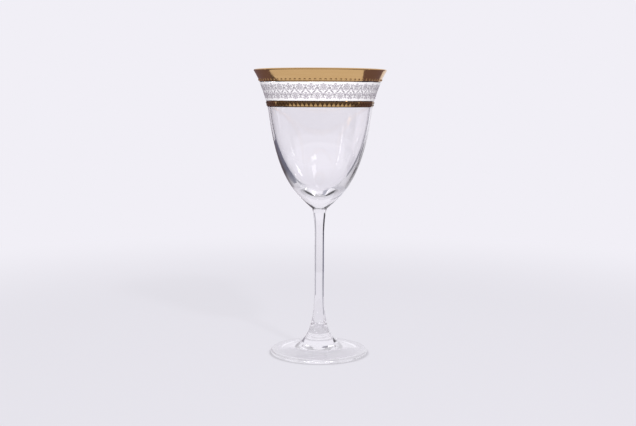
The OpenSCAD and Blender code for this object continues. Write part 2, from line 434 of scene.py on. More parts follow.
near_card = flat_tone("slate_card_for_one_wall", SLATE, "MINIMUM")
near_section = [(NEAR_CARD_R, z) for z in (NEAR_CARD_LOW, NEAR_CARD_CORNER, NEAR_CARD_TOP)]
card("card_left_near", near_card, NEAR_ANGLES, near_section, ("transmission",), NEAR_LOW_ANGLES)

# %% [markdown]
# A soft key from the right of the camera lights the table and throws the faint shadow to the left and behind.
# Six more lamps each serve one part of the glass, to which the last step links them. A leaning strip
# on the left draws the long streak in the bowl, a light at the side and one behind it draw the two short
# ones, and a high one draws the soft patch in the middle. A wide low light puts the sparkle into the foot,
# and the last one lights the frieze from the front.

# %% Lamps
KEY_AWAY = 1500
LIGHT_AWAY = 1400


def lamp(name, angle, up, size, watts, away=LIGHT_AWAY, lean=0.0):
    """A rectangular lamp that faces the middle of the glass, up at an angle, and may lean to one side."""
    light = bpy.data.lights.new(name, "AREA")
    light.shape = "RECTANGLE"
    light.size = size[0] * MM
    light.size_y = size[1] * MM
    light.energy = watts
    box = bpy.data.objects.new(name, light)
    scene.collection.objects.link(box)
    middle = Vector((0, 0, glass_h / 2))
    slope = math.radians(up)
    box.location = (middle + round_glass(angle, away * math.cos(slope), away * math.sin(slope))) * MM
    facing = (middle * MM - box.location).to_track_quat("-Z", "Y")
    box.rotation_euler = (facing @ Quaternion((0, 0, 1), math.radians(lean))).to_euler()
    print(name, [round(c / MM) for c in box.location], "mm")
    return box


key = lamp("key_lamp", angle=28, up=38, size=(140, 140), watts=13, away=KEY_AWAY)
key.visible_glossy = False
key.visible_transmission = False
strip = lamp("strip_light", angle=-64, up=21, size=(50, 290), watts=2.3, lean=22)
side_light = lamp("side_light", angle=101, up=25.5, size=(50, 130), watts=1.1)
back_light = lamp("back_light", angle=123, up=31, size=(300, 130), watts=3.6)
high_light = lamp("high_light", angle=24, up=42, size=(330, 380), watts=1.5)
foot_light = lamp("foot_light", angle=-2, up=9, size=(2000, 150), watts=16)
frieze_light = lamp("frieze_light", angle=0, up=12, size=(300, 300), watts=10)

# %% [markdown]
# A blown and drawn glass is a body of revolution, so each piece of it is one profile spun round the axis.
# The profiles are cubic curves that leave and reach each seam in a given direction, as the hot glass does
# where one piece flows into the next. A pull says how far a curve runs straight on at an end, as a share
# of its chord.

# %% Curves of a profile
HALVINGS = 40


def rise(degrees):
    """Direction in the profile's plane, as (outwards, upwards), at an angle from level."""
    return Vector((math.cos(math.radians(degrees)), math.sin(math.radians(degrees))))


class Curve:
    """Cubic curve in the profile's plane, from a start to an end, with a direction and a pull at each."""

    def __init__(self, start, leave, end, arrive, pulls):
        chord = (end - start).length
        self.points = [start, start + leave * pulls[0] * chord, end - arrive * pulls[1] * chord, end]

    def at(self, t):
        """The point at a share of the way along."""
        a, b, c, d = self.points
        return (1 - t) ** 3 * a + 3 * (1 - t) ** 2 * t * b + 3 * (1 - t) * t * t * c + t ** 3 * d

    def outward(self, t):
        """The direction square to the curve, to the right of the way along it."""
        a, b, c, d = self.points
        heading = (1 - t) ** 2 * (b - a) + 2 * (1 - t) * t * (c - b) + t * t * (d - c)
        return Vector((heading.y, -heading.x)).normalized()

    def share_at_height(self, z):
        """The share of the way at which a rising curve reaches a height, found by halving."""
        low, high = 0.0, 1.0
        for _ in range(HALVINGS):
            middle = (low + high) / 2
            if self.at(middle).y < z:
                low = middle
            else:
                high = middle
        return (low + high) / 2


print("a slope of 30 degrees goes", [round(c, 2) for c in rise(30)])

# %% [markdown]
# The bowl was blown round and then flared. Its outside is a full curve from the stem to the shoulder and a
# flare from there to the lip. Inside, one curve runs from the thick floor to the shoulder, and from there the
# wall thins towards the lip.

# %% Profile of the bowl
LIP_WALL = 1.4
SHOULDER_WALL = 1.8
SHOULDER_R = 38.9
BODY_H = 70.1
SHOULDER_LEAN = 8.0
LIP_LEAN = 31.5
BOWL_SEAM_R = 6.0
SEAM_RISE = 40.5
FLOOR_T = 10.7
FILM_T = 0.15
BODY_PULLS = (0.262, 0.57)
FLARE_PULLS = (0.18, 0.457)
INSIDE_PULLS = (0.12, 0.696)

lip_r = LIP_WALL / 2
lip_middle = Vector((lip_over_gold_r - FILM_T - lip_r, glass_h - FILM_T - lip_r))
bowl_seam = Vector((BOWL_SEAM_R, bowl_seam_z))
shoulder = Vector((SHOULDER_R, bowl_seam_z + BODY_H))
up_the_shoulder = rise(90 - SHOULDER_LEAN)
flare_end = lip_middle + lip_r * rise(-LIP_LEAN)
inside_floor = Vector((0, bowl_seam_z + FLOOR_T))
inside_shoulder = shoulder - SHOULDER_WALL * rise(-SHOULDER_LEAN)
body = Curve(bowl_seam, rise(SEAM_RISE), shoulder, up_the_shoulder, BODY_PULLS)
flare = Curve(shoulder, up_the_shoulder, flare_end, rise(90 - LIP_LEAN), FLARE_PULLS)
inside = Curve(inside_floor, rise(0), inside_shoulder, up_the_shoulder, INSIDE_PULLS)
print(f"shoulder at {shoulder.y:.1f} mm, flare {(flare_end - shoulder).length:.1f} mm long")

# %% [markdown]
# The stem was drawn from the bowl while hot, so it sweeps out at both ends. The foot falls away from the
# stem's end to a round edge, stands on a narrow ring and is hollow beneath.

# %% Profiles of the stem and the foot
STEM_R = 3.7
UPPER_SWEEP_L = 18.4
LOWER_SWEEP_L = 42.0
CROWN_RISE = 38.0
FOOT_EDGE_T = 3.2
FOOT_FALL = 4.0
STANDING_RING_W = 5.0
FOOT_HOLLOW_H = 4.8
HOLLOW_RISE = 10.0
LOWER_SWEEP_PULLS = (0.1, 0.78)
UPPER_SWEEP_PULLS = (0.11, 0.1)
FOOT_TOP_PULLS = (0.19, 0.52)
HOLLOW_PULLS = (0.45, 0.5)

crown = Vector((crown_r, crown_h))
stem_low = Vector((STEM_R, crown_h + LOWER_SWEEP_L))
stem_high = Vector((STEM_R, bowl_seam_z - UPPER_SWEEP_L))
lower_sweep = Curve(crown, rise(180 - CROWN_RISE), stem_low, rise(90), LOWER_SWEEP_PULLS)
upper_sweep = Curve(stem_high, rise(90), bowl_seam, rise(SEAM_RISE), UPPER_SWEEP_PULLS)
foot_edge_r = FOOT_EDGE_T / 2
foot_edge_middle = Vector((foot_r - foot_edge_r, foot_edge_r))
foot_edge_top = foot_edge_middle + foot_edge_r * rise(90 - FOOT_FALL)
ring_inside = Vector((foot_edge_middle.x - STANDING_RING_W, 0))
hollow_top = Vector((0, FOOT_HOLLOW_H))
foot_top = Curve(crown, rise(-CROWN_RISE), foot_edge_top, rise(-FOOT_FALL), FOOT_TOP_PULLS)
foot_hollow = Curve(ring_inside, rise(180 - HOLLOW_RISE), hollow_top, rise(180), HOLLOW_PULLS)
print(f"stem {2 * STEM_R} mm thick, foot stands on a ring {2 * ring_inside.x:.1f} mm across inside")

# %% [markdown]
# A mesh needs points, so each curve is walked in even shares of its way. Points on the flare can be lifted
# off the glass, which is how the gold and the frost later get their place and their thickness.

# %% Points along the profiles
def shares(start, end, steps):
    """Even steps from one share to another, both among them."""
    return [start + (end - start) * i / steps for i in range(steps + 1)]


def along(curve, start, end, steps):
    """Points on a curve between two shares of its way."""
    return [curve.at(t) for t in shares(start, end, steps)]


def flare_outside(start, end, steps, lift=0.0):
    """Points on the outside of the flare, lifted off the glass."""
    return [flare.at(t) + lift * flare.outward(t) for t in shares(start, end, steps)]


def flare_inside(start, end, steps, lift=0.0):
    """Points on the inside of the flare, where the wall thins towards the lip."""
    wall = [SHOULDER_WALL + (LIP_WALL - SHOULDER_WALL) * t for t in shares(start, end, steps)]
    return [flare.at(t) - (w + lift) * flare.outward(t) for t, w in zip(shares(start, end, steps), wall)]


def arc(middle, radius, start, end, steps):
    """Points on an arc between two angles."""
    return [middle + radius * rise(a) for a in shares(start, end, steps)]


print("half way up the flare:", [round(c, 1) for c in flare.at(0.5)], "mm")

# %% [markdown]
# Blender's Spin would leave a doubled seam, so the skin is built ring by ring: each point of the profile
# becomes a ring of vertices, a point on the axis becomes one vertex, and neighbours are joined by faces.

# %% Spin a profile to a closed skin
SPIN_STEPS = 192
SHARP_EDGE = 50.0
ON_AXIS = 1e-6


def spin(name, outline, steps=SPIN_STEPS):
    """Closed skin of revolution from a closed profile in millimetres."""
    build = bmesh.new()
    rings = []
    for point in outline:
        if point.x < ON_AXIS:
            rings.append([build.verts.new(Vector((0, 0, point.y)) * MM)])
            continue
        ring = []
        for i in range(steps):
            a = 2 * math.pi * i / steps
            ring.append(build.verts.new(Vector((point.x * math.cos(a), point.x * math.sin(a), point.y)) * MM))
        rings.append(ring)
    pairs = list(zip(rings, rings[1:]))
    if len(rings[0]) > 1:
        pairs.append((rings[-1], rings[0]))
    for lower, upper in pairs:
        for i in range(steps):
            j = (i + 1) % steps
            below = [lower[k % len(lower)] for k in (i, j)]
            above = [upper[k % len(upper)] for k in (j, i)]
            corners = list(dict.fromkeys(below + above))
            if len(corners) > 2:
                build.faces.new(corners)
    bmesh.ops.recalc_face_normals(build, faces=build.faces)
    mesh = bpy.data.meshes.new(name)
    build.to_mesh(mesh)
    build.free()
    mesh.shade_smooth()
    mesh.set_sharp_from_angle(angle=math.radians(SHARP_EDGE))
    piece = bpy.data.objects.new(name, mesh)
    scene.collection.objects.link(piece)
    return piece


def settle(piece, slot, *nodes):
    """Gives a finished piece its body and hides the solids that it stands for; the slot is not used."""
    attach(piece, "root")
    if nodes:
        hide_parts(*nodes)
    print(piece.name, len(piece.data.polygons), "faces")


print("each ring has", SPIN_STEPS, "points")

# %% [markdown]
# Soda-lime glass bends light with an index of 1.52 and has almost no colour of its own. Blown ware keeps
# faint rings from the turning pipe, a few millimetres apart and far finer than a finger can feel: they ripple
# the lights a little and tint the wall unevenly. A ray that is still caught between two walls after four
# turns would end black, so there the glass gives off a little of the backdrop's light instead: most in the
# foot's edge, less in the thick glass above it and least in the thin wall of the bowl.

# %% Material: polished soda-lime glass
RING_SPACING = 5.0
RING_REACH = 60.0
RING_H = 0.004
GLASS_IOR = 1.52
LAST_TURN = 3.5
EDGE_GLOW = 0.45
LOW_GLOW = 0.32
HIGH_GLOW = 0.05
FOOT_PLATE_H = 3.3
FOOT_FADE_H = 1.0
THICK_WALL_H = 17.0
THIN_WALL_H = 21.0

glass, tree, out = new_material("polished_soda_lime_glass")
place = add_node(tree, "ShaderNodeTexCoord")
stretched = add_node(tree, "ShaderNodeVectorMath", {
    0: place.outputs["Object"], 1: [1 / (s * MM) for s in (RING_REACH, RING_REACH, RING_SPACING)]},
    operation="MULTIPLY")
rings = add_node(tree, "ShaderNodeTexNoise", {"Vector": stretched.outputs[0], "Scale": 1.0, "Detail": 1.0})
tint = add_node(tree, "ShaderNodeMix", {
    "Factor": rings.outputs["Fac"], "A": linear("#fffeff"), "B": linear("#fcfbfd")}, data_type="RGBA")
ripple = add_node(tree, "ShaderNodeBump", {"Height": rings.outputs["Fac"], "Distance": RING_H * MM})
path = add_node(tree, "ShaderNodeLightPath")
caught = add_node(tree, "ShaderNodeMath", {
    0: path.outputs["Glossy Depth"], 1: LAST_TURN}, operation="GREATER_THAN")
height = add_node(tree, "ShaderNodeSeparateXYZ", {0: place.outputs["Object"]})
low_glow = add_node(tree, "ShaderNodeMapRange", {
    "Value": height.outputs["Z"], "From Min": FOOT_PLATE_H * MM,
    "From Max": (FOOT_PLATE_H + FOOT_FADE_H) * MM, "To Min": EDGE_GLOW, "To Max": LOW_GLOW})
glow = add_node(tree, "ShaderNodeMapRange", {
    "Value": height.outputs["Z"], "From Min": (bowl_seam_z + THICK_WALL_H) * MM,
    "From Max": (bowl_seam_z + THIN_WALL_H) * MM, "To Min": low_glow.outputs[0], "To Max": HIGH_GLOW})
left_over = add_node(tree, "ShaderNodeMath", {
    0: caught.outputs[0], 1: glow.outputs[0]}, operation="MULTIPLY")
bsdf = add_node(tree, "ShaderNodeBsdfPrincipled", {
    "Base Color": tint.outputs["Result"], "Roughness": 0.0, "IOR": GLASS_IOR, "Transmission Weight": 1.0,
    "Normal": ripple.outputs[0], "Emission Color": linear(BACKDROP),
    "Emission Strength": left_over.outputs[0]})
tree.links.new(bsdf.outputs[0], out.inputs[0])

seam, tree, out = new_material("fused_seam_inside_the_glass")
clear = add_node(tree, "ShaderNodeBsdfTransparent")
tree.links.new(clear.outputs[0], out.inputs[0])
print(f"glass with rings every {RING_SPACING} mm")

# %% [markdown]
# The three pieces of glass were joined hot, so nothing reflects where they meet: the flat faces at the seams
# get a clear material and light passes from the bowl into the stem and on into the foot.

# %% Bowl, stem and foot
SEAM_SLACK = 0.001
BODY_STEPS = 80
FLARE_STEPS = 60
LIP_STEPS = 12
LOWER_SWEEP_STEPS = 60
UPPER_SWEEP_STEPS = 40
FOOT_TOP_STEPS = 60
FOOT_EDGE_STEPS = 16
HOLLOW_STEPS = 50


def open_seams(piece):
    """Gives the flat faces at the seams the clear material, because there the glass runs on."""
    piece.data.materials.append(seam)
    for face in piece.data.polygons:
        level = [piece.data.vertices[v].co.z / MM for v in face.vertices]
        on_seam = any(max(abs(z - s) for z in level) < SEAM_SLACK for s in (bowl_seam_z, crown_h))
        face.material_index = 1 if on_seam else 0


bowl_glass = spin("bowl_glass", [Vector((0, bowl_seam_z))] + along(body, 0, 1, BODY_STEPS)
    + flare_outside(0, 1, FLARE_STEPS)[1:] + arc(lip_middle, lip_r, -LIP_LEAN, 180 - LIP_LEAN, LIP_STEPS)[1:]
    + flare_inside(1, 0, FLARE_STEPS)[1:] + along(inside, 1, 0, BODY_STEPS)[1:])
stem_glass = spin("stem_glass", [Vector((0, crown_h))] + along(lower_sweep, 0, 1, LOWER_SWEEP_STEPS)
    + along(upper_sweep, 0, 1, UPPER_SWEEP_STEPS) + [Vector((0, bowl_seam_z))])
foot_glass = spin("foot_glass", [Vector((0, crown_h))] + along(foot_top, 0, 1, FOOT_TOP_STEPS)
    + arc(foot_edge_middle, foot_edge_r, 90 - FOOT_FALL, -90, FOOT_EDGE_STEPS)[1:]
    + along(foot_hollow, 0, 1, HOLLOW_STEPS))
for piece, node in ((bowl_glass, "bowl"), (stem_glass, "stem"), (foot_glass, "foot")):
    piece.data.materials.append(glass)
    settle(piece, "clear_glass", node)
    open_seams(piece)

# %% [markdown]
# Burnish gold is painted on and fired, which leaves a film of a few thousandths of a millimetre at most, and
# is then rubbed to a mirror. The rubbing leaves fine streaks round the glass, drawn here coarser than they
# are so that they show. Along its edges, and in the hollows round the relief, the gold is drawn umber: partly
# as thin, burnt gold and partly as painted shade and painted dark reflection. Each gold piece carries an
# attribute "edge" that says where.

# %% Material: burnished fired gold
STREAK_H = 0.7
STREAK_L = 25.0
STREAK_DEPTH = 0.0006
GOLD_ROUGHNESS = (0.07, 0.14)
STREAK_SPREAD = (0.3, 0.7)

gold, tree, out = new_material("burnished_fired_gold")
place = add_node(tree, "ShaderNodeTexCoord")
stretched = add_node(tree, "ShaderNodeVectorMath", {
    0: place.outputs["Object"], 1: [1 / (s * MM) for s in (STREAK_L, STREAK_L, STREAK_H)]},
    operation="MULTIPLY")
streaks = add_node(tree, "ShaderNodeTexNoise", {"Vector": stretched.outputs[0], "Scale": 1.0, "Detail": 3.0})
tone = add_node(tree, "ShaderNodeMix", {
    "Factor": streaks.outputs["Fac"], "A": linear("#e2bd86"), "B": linear("#d6ae74")}, data_type="RGBA")
edge = add_node(tree, "ShaderNodeAttribute", attribute_name="edge")
# Painted shade: where the edge mark is set, the gold turns umber, partly burnt thin gold and partly painted
# shade and dark reflection.
umber_and_painted_shade = add_node(tree, "ShaderNodeMix", {
    "Factor": edge.outputs["Fac"], "A": tone.outputs["Result"], "B": linear("#2e1a10")}, data_type="RGBA")
polish = add_node(tree, "ShaderNodeMapRange", {
    "Value": streaks.outputs["Fac"], "From Min": STREAK_SPREAD[0], "From Max": STREAK_SPREAD[1],
    "To Min": GOLD_ROUGHNESS[0], "To Max": GOLD_ROUGHNESS[1]})
grain = add_node(tree, "ShaderNodeBump", {"Height": streaks.outputs["Fac"], "Distance": STREAK_DEPTH * MM})
bsdf = add_node(tree, "ShaderNodeBsdfPrincipled", {
    "Base Color": umber_and_painted_shade.outputs["Result"], "Roughness": polish.outputs[0], "Metallic": 1.0,
    "Normal": grain.outputs[0]})
tree.links.new(bsdf.outputs[0], out.inputs[0])
print(f"gold with streaks {STREAK_H} mm high and {STREAK_L:.0f} mm long")

# %% [markdown]
# The bands are films on the flare, spun like the glass and bedded a little into it, so that no air shows
# behind them. The rim's band turns over the lip. Its lower edge and both edges of the narrow band are marked
# for the umber tone, which is partly burnt gold and partly painted shade and painted dark reflection.

# %% Bands of fired gold
RIM_BAND_H = 9.6
RIM_TURN_H = 2.0
FRIEZE_H = 13.6
LOWER_BAND_H = 4.5
BAND_GAP = 0.3
BEDDED = 0.02
FINE_LINE = 0.5
RIM_STEPS = 40
RIM_TURN_STEPS = 10
LOWER_BAND_STEPS = 20

rim_band_z = glass_h - RIM_BAND_H
frieze_top_z = rim_band_z - BAND_GAP
frieze_z = frieze_top_z - FRIEZE_H
lower_band_top_z = frieze_z - BAND_GAP
lower_band_z = lower_band_top_z - LOWER_BAND_H


def band_outline(low_z, high_z, steps):
    """Section of a film on the flare."""
    low, high = flare.share_at_height(low_z), flare.share_at_height(high_z)
    return flare_outside(low, high, steps, FILM_T) + flare_outside(high, low, steps, -BEDDED)


def lip_outline(lift):
    """Path from the lower edge of the rim band up the flare, over the lip and down inside it."""
    low, turn = flare.share_at_height(rim_band_z), flare.share_at_height(glass_h - RIM_TURN_H)
    over_lip = arc(lip_middle, lip_r + lift, -LIP_LEAN, 180 - LIP_LEAN, LIP_STEPS)
    return (flare_outside(low, 1, RIM_STEPS, lift) + over_lip[1:]
        + flare_inside(1, turn, RIM_TURN_STEPS, lift)[1:])


def mark_edges(piece, *heights):
    """Marks a fine line round a band at each of these heights for the umber tone of burnt gold and painted
    shade.
    """
    edge = piece.data.attributes.new("edge", "FLOAT", "POINT")
    for vertex, mark in zip(piece.data.vertices, edge.data):
        on_line = any(abs(vertex.co.z / MM - z) < FINE_LINE for z in heights)
        mark.value = 1.0 if on_line else 0.0


rim_gold = spin("rim_gold", lip_outline(FILM_T) + lip_outline(-BEDDED)[::-1])
mark_edges(rim_gold, rim_band_z)
rim_gold.data.materials.append(gold)
settle(rim_gold, "fired_gold", "rim_gold_band")
lower_gold = spin("lower_gold", band_outline(lower_band_z, lower_band_top_z, LOWER_BAND_STEPS))
mark_edges(lower_gold, lower_band_z, lower_band_top_z)
lower_gold.data.materials.append(gold)
settle(lower_gold, "fired_gold", "lower_gold_band")

# %% [markdown]
# The ornaments are modelled flat, in millimetres round, up and off the wall, and laid onto the flare by one
# map. Drawing them on the curved wall itself would be harder to read and to change.

# %% Map from a flat drawing to the flare
def wall_map(z_middle):
    """The map from millimetres round, up and off the wall at a height, and the way round in millimetres."""
    share = flare.share_at_height(z_middle)
    reach = flare.at(share).x + FILM_T
    steepness = flare.outward(share).x

    def place(x, y, lift):
        t = flare.share_at_height(z_middle + y * steepness)
        point = flare.at(t) + (FILM_T + lift) * flare.outward(t)
        angle = x / reach - math.pi / 2
        return Vector((point.x * math.cos(angle), point.x * math.sin(angle), point.y)) * MM

    return place, 2 * math.pi * reach


print(f"the frieze is {wall_map((frieze_z + frieze_top_z) / 2)[1]:.1f} mm long round the glass")

# %% [markdown]
# Each ornament is made of low closed pads whose rims are bedded in the film. Their outlines are marked as
# edge, which the materials draw darker: partly as the etcher's or gilder's line round a motif, and partly as
# painted shade round the relief.

# %% Pads of an ornament
PAD_SIZES = (1.0, 0.82, 0.68)
# Marks for a pad's rings, outermost first: the dark outline is partly a drawn line and partly painted shade
# round the relief.
OUTLINE_AND_SHADE_MARKS = (1.0, 0.8, 0.0)
UNLINED = (0.0, 0.0, 0.0)
DARK = 1.0
BRIGHT = 0.0


def new_motif():
    """An empty mesh whose points carry the edge mark."""
    build = bmesh.new()
    build.verts.layers.float.new("edge")
    return build


def add_vertex(build, spot, mark):
    """Adds a point with its edge mark."""
    vertex = build.verts.new(spot)
    vertex[build.verts.layers.float["edge"]] = mark
    return vertex


def pad(build, place, outline, height, marks=OUTLINE_AND_SHADE_MARKS):
    """A low dome over a closed outline of points, with a mark for each of its rings."""
    middle = sum(outline, Vector((0, 0))) / len(outline)
    rings = []
    for size, mark in zip(PAD_SIZES, marks):
        spots = [middle + size * (point - middle) for point in outline]
        lift = height * (1 - size ** 2) - BEDDED
        rings.append([add_vertex(build, place(*spot, lift), mark) for spot in spots])
    low = add_vertex(build, place(*middle, -BEDDED), DARK)
    top = add_vertex(build, place(*middle, height), BRIGHT)
    for i in range(len(outline)):
        j = (i + 1) % len(outline)
        build.faces.new((low, rings[0][j], rings[0][i]))
        for lower, upper in zip(rings, rings[1:]):
            build.faces.new((lower[i], lower[j], upper[j], upper[i]))
        build.faces.new((rings[-1][i], rings[-1][j], top))


def smooth(build):
    """Shades all faces smoothly."""
    for face in build.faces:
        face.smooth = True


print("a pad has", len(PAD_SIZES), "rings of points under its top")

# %% [markdown]
# A border is one motif repeated round the axis. Geometry Nodes do that: a row of points in one place, one for
# each repeat, and an instance on each, turned by its share of the full circle. The instances are made real
# and the result is kept as a plain mesh, because the export drops instances.

# %% Repeat a motif round the glass
def repeat_round(name, build, count, material):
    """Repeats a motif round the axis with Geometry Nodes and returns it as one plain mesh object."""
    bmesh.ops.recalc_face_normals(build, faces=build.faces)
    motif_mesh = bpy.data.meshes.new(name + "_motif")
    build.to_mesh(motif_mesh)
    build.free()
    motif = bpy.data.objects.new(name + "_motif", motif_mesh)
    scene.collection.objects.link(motif)

    tree = bpy.data.node_groups.new(name + "_repeats", "GeometryNodeTree")
    tree.interface.new_socket("Motif", in_out="INPUT", socket_type="NodeSocketGeometry")
    repeats = tree.interface.new_socket("Repeats", in_out="INPUT", socket_type="NodeSocketInt")
    tree.interface.new_socket("Border", in_out="OUTPUT", socket_type="NodeSocketGeometry")
    given = add_node(tree, "NodeGroupInput")
    points = add_node(tree, "GeometryNodeMeshLine", {
        "Count": given.outputs["Repeats"], "Offset": (0.0, 0.0, 0.0)})
    step = add_node(tree, "ShaderNodeMath", {0: 2 * math.pi, 1: given.outputs["Repeats"]}, operation="DIVIDE")
    index = add_node(tree, "GeometryNodeInputIndex")
    turn = add_node(tree, "ShaderNodeMath", {0: index.outputs[0], 1: step.outputs[0]}, operation="MULTIPLY")
    angles = add_node(tree, "ShaderNodeCombineXYZ", {"Z": turn.outputs[0]})
    rotation = add_node(tree, "FunctionNodeEulerToRotation", {0: angles.outputs[0]})
    copies = add_node(tree, "GeometryNodeInstanceOnPoints", {
        "Points": points.outputs["Mesh"], "Instance": given.outputs["Motif"],
        "Rotation": rotation.outputs[0]})
    real = add_node(tree, "GeometryNodeRealizeInstances", {0: copies.outputs[0]})
    dressed = add_node(tree, "GeometryNodeSetMaterial", {"Geometry": real.outputs[0], "Material": material})
    add_node(tree, "NodeGroupOutput", {0: dressed.outputs[0]})

    modifier = motif.modifiers.new("repeats", "NODES")
    modifier.node_group = tree
    modifier[repeats.identifier] = count
    evaluated = motif.evaluated_get(bpy.context.evaluated_depsgraph_get())
    mesh = bpy.data.meshes.new_from_object(evaluated)
    mesh.name = name
    motif.modifiers.clear()
    bpy.data.objects.remove(motif)
    piece = bpy.data.objects.new(name, mesh)
    scene.collection.objects.link(piece)
    print(name, "repeated", count, "times")
    return piece


# %% [markdown]
# A row of small raised beads closes the rim band. A gilder sets them as drops of relief under the gold, so
# each is a low smooth dome of the same gold.

# %% Beads on the rim band
BORDER_REPEATS = 78
BEAD_R = 0.95
BEAD_RISE = 0.45
BEAD_ROW_H = 1.5
BEAD_CORNERS = 10

place = wall_map(rim_band_z + BEAD_ROW_H)[0]
build = new_motif()
bead = [BEAD_R * rise(360 * i / BEAD_CORNERS) for i in range(BEAD_CORNERS)]
pad(build, place, bead, BEAD_RISE, UNLINED)
smooth(build)
beads = repeat_round("rim_beads", build, BORDER_REPEATS, gold)
settle(beads, "fired_gold", "rim_gold_beading")

# %% [markdown]
# On the lower band, rows of triangles point up and down and fit into each other. Each slopes from its point
# to its base, one row towards the table and one towards the room, so that one flashes where the other is
# dark.

# %% Lattice on the lower band
LATTICE_RISE = 0.45
LATTICE_EDGE_T = 0.1
LATTICE_MARGIN = 0.6
LATTICE_GROOVE = 0.2
# Painted shade: each triangle of the lattice is drawn darker towards its point.
POINT_SHADE = 0.9

place, way_round = wall_map((lower_band_z + lower_band_top_z) / 2)
pitch = way_round / BORDER_REPEATS
half_base = pitch / 2 - LATTICE_GROOVE
up_wall = LOWER_BAND_H / 2 - LATTICE_MARGIN


def facet(build, middle, way):
    """A triangle that slopes from its point to its base. The way is 1 with its point up and -1 down."""
    corners = [(-half_base, -up_wall), (half_base, -up_wall), (0, up_wall - LATTICE_GROOVE)]
    heights = (LATTICE_EDGE_T, LATTICE_EDGE_T, LATTICE_RISE)
    marks = (BRIGHT, BRIGHT, POINT_SHADE)
    low = [add_vertex(build, place(middle + way * x, way * y, -BEDDED), DARK) for x, y in corners]
    high = []
    for (x, y), lift, mark in zip(corners, heights, marks):
        high.append(add_vertex(build, place(middle + way * x, way * y, lift), mark))
    build.faces.new(low[::-1])
    build.faces.new(high)
    for i in range(len(corners)):
        j = (i + 1) % len(corners)
        build.faces.new((low[i], low[j], high[j], high[i]))


build = new_motif()
facet(build, 0, 1)
facet(build, pitch / 2, -1)
lattice = repeat_round("gold_lattice", build, BORDER_REPEATS, gold)
settle(lattice, "fired_gold", "lower_gold_lattice")

# %% [markdown]
# Acid turns the polished glass to a fine white frost. Its grit is a few hundredths of a millimetre, drawn
# here as coarse as it needs to show, and the bath leaves it a little cloudy.

# %% Material: acid-etched frost
GRIT = 0.25
CLOUD = 6.0
GRIT_DEPTH = 0.02
FROST_ROUGHNESS = (0.5, 0.75)

frost, tree, out = new_material("acid_etched_frost")
place = add_node(tree, "ShaderNodeTexCoord")
grit = add_node(tree, "ShaderNodeTexNoise", {
    "Vector": place.outputs["Object"], "Scale": 1 / (GRIT * MM), "Detail": 2.0})
cloud = add_node(tree, "ShaderNodeTexNoise", {
    "Vector": place.outputs["Object"], "Scale": 1 / (CLOUD * MM), "Detail": 1.0})
patchy = add_node(tree, "ShaderNodeMix", {
    "Factor": cloud.outputs["Fac"], "A": linear("#fefcfb"), "B": linear("#f6f4f4")}, data_type="RGBA")
dull = add_node(tree, "ShaderNodeMapRange", {
    "Value": cloud.outputs["Fac"], "To Min": FROST_ROUGHNESS[0], "To Max": FROST_ROUGHNESS[1]})
rough = add_node(tree, "ShaderNodeBump", {"Height": grit.outputs["Fac"], "Distance": GRIT_DEPTH * MM})
bsdf = add_node(tree, "ShaderNodeBsdfPrincipled", {
    "Base Color": patchy.outputs["Result"], "Roughness": dull.outputs[0], "Normal": rough.outputs[0]})
tree.links.new(bsdf.outputs[0], out.inputs[0])
print(f"frost with a grit of {GRIT} mm and clouds of {CLOUD:.0f} mm")

# %% [markdown]
# The flowers were kept from the acid or polished again: they look like satin silver on the frost, with a
# darker line round each, which follows the edge mark and is partly a drawn outline and partly painted shade.

# %% Material: satin-polished ornament
SATIN_ROUGHNESS = (0.25, 0.45)
SATIN_METALLIC = 0.25
SATIN_DEPTH = 0.005

satin, tree, out = new_material("satin_polished_ornament")
place = add_node(tree, "ShaderNodeTexCoord")
grit = add_node(tree, "ShaderNodeTexNoise", {
    "Vector": place.outputs["Object"], "Scale": 1 / (GRIT * MM), "Detail": 2.0})
edge = add_node(tree, "ShaderNodeAttribute", attribute_name="edge")
# Painted shade: along the edge mark the satin turns dark, partly a drawn outline and partly painted shade
# round the relief.
outlined_and_shaded = add_node(tree, "ShaderNodeMix", {
    "Factor": edge.outputs["Fac"], "A": linear("#dfd9df"), "B": linear("#3c3640")}, data_type="RGBA")
sheen = add_node(tree, "ShaderNodeMapRange", {
    "Value": grit.outputs["Fac"], "To Min": SATIN_ROUGHNESS[0], "To Max": SATIN_ROUGHNESS[1]})
rough = add_node(tree, "ShaderNodeBump", {"Height": grit.outputs["Fac"], "Distance": SATIN_DEPTH * MM})
bsdf = add_node(tree, "ShaderNodeBsdfPrincipled", {
    "Base Color": outlined_and_shaded.outputs["Result"], "Roughness": sheen.outputs[0], "Metallic": SATIN_METALLIC,
    "Normal": rough.outputs[0]})
tree.links.new(bsdf.outputs[0], out.inputs[0])
print("satin between roughness", *SATIN_ROUGHNESS)

# %% [markdown]
# The ground of the frieze is the frosted wall itself. It is spun as a film of the same kind as the gold, so
# that the polished glass behind it stays whole.

# %% Frosted ground of the frieze
FRIEZE_STEPS = 24

etched_ground = spin("etched_ground", band_outline(frieze_z, frieze_top_z, FRIEZE_STEPS))
etched_ground.data.materials.append(frost)
settle(etched_ground, "etched_glass", "floral_frieze")

# %% [markdown]
# A garland takes few shapes: petals, leaves, the round heart of a blossom and the stem that winds between
# them. Each outline is a formula, so that one function draws it in any size and direction.

# %% Outlines of petals and leaves
PETAL_CORNERS = 10
PETAL_MIDDLE = 0.64
PETAL_REACH = 0.36
PETAL_FULLNESS = 0.78
PETAL_WIDENING = 0.3
LEAF_POINT = 1.4


def petal(middle, angle, radius, width):
    """Outline of a petal that widens from a blossom's middle outwards."""
    outline = []
    for i in range(PETAL_CORNERS):
        a = 2 * math.pi * i / PETAL_CORNERS
        along_it = radius * (PETAL_MIDDLE + PETAL_REACH * math.cos(a))
        across = width / 2 * math.sin(a) * (PETAL_FULLNESS + PETAL_WIDENING * math.cos(a))
        outline.append(middle + along_it * rise(angle) + across * rise(angle + 90))
    return outline


